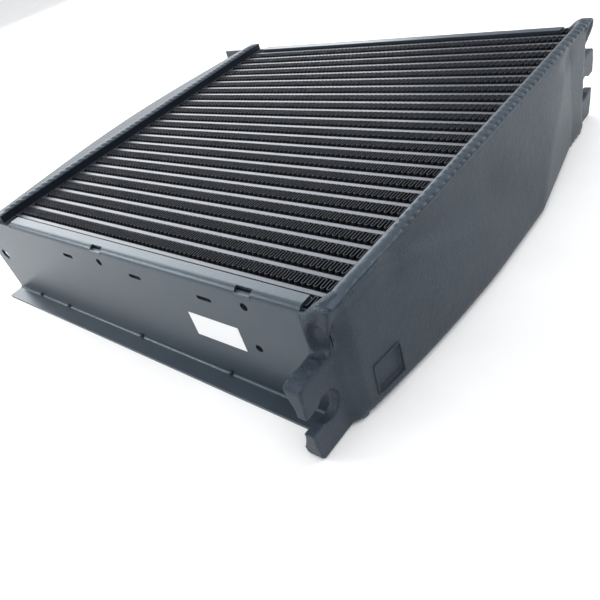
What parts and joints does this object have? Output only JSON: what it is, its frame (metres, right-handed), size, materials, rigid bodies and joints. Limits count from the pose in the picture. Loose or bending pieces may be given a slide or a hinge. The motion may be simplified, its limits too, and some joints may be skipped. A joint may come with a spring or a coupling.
{
  "type": "oil cooler",
  "caption": "Bar-and-plate oil cooler with a shallow cast return tank carrying slotted hooks, a port tank and folded side plates.",
  "frame": {"origin": "centre of the outline's box in plan, on the plane that the cooler stands on", "axes": "+X from the port tank to the return tank, +Y from the front side plate to the rear one, +Z along the air path, up"},
  "size_m": [0.351, 0.353, 0.0782],
  "materials": {
    "castings": "satin dark grey coat on a fine sand-cast skin",
    "sheet_parts": "satin dark grey coat on smooth sheet",
    "seam": "satin dark grey coat over weld ripples",
    "core_bars": "satin grey coat",
    "fins": "thin dark coat",
    "bare_inside": "plain",
    "sticker": "matt white"
  },
  "bodies": {
    "root": {"air_fin_01": "fins", "air_fin_02": "fins", "air_fin_03": "fins", "air_fin_04": "fins", "air_fin_05": "fins", "air_fin_06": "fins", "air_fin_07": "fins", "air_fin_08": "fins", "air_fin_09": "fins", "air_fin_10": "fins", "air_fin_11": "fins", "air_fin_12": "fins", "air_fin_13": "fins", "air_fin_14": "fins", "air_fin_15": "fins", "air_fin_16": "fins", "air_fin_17": "fins", "air_fin_18": "fins", "air_fin_19": "fins", "air_fin_20": "fins", "air_fin_21": "fins", "air_fin_22": "fins", "air_fin_23": "fins", "air_fin_24": "fins", "air_fin_25": "fins", "front_end_sheet": "sheet_parts", "front_port_boss": "castings", "front_side_plate": "sheet_parts", "left_header_bars": "core_bars", "left_lower_header_strip": "sheet_parts", "left_lower_seam_weld": "seam", "left_tank": "castings", "left_tank_baffle": "bare_inside", "left_upper_header_strip": "sheet_parts", "left_upper_seam_weld": "seam", "lower_closing_bars": "core_bars", "parting_sheets": "core_bars", "rear_end_sheet": "sheet_parts", "rear_port_boss": "castings", "rear_side_plate": "sheet_parts", "right_header_bars": "core_bars", "right_lower_header_strip": "sheet_parts", "right_lower_seam_weld": "seam", "right_tank": "castings", "right_upper_header_strip": "sheet_parts", "right_upper_seam_weld": "seam", "sticker": "sticker", "turbulators": "bare_inside", "upper_closing_bars": "core_bars"}
  },
  "joints": []
}
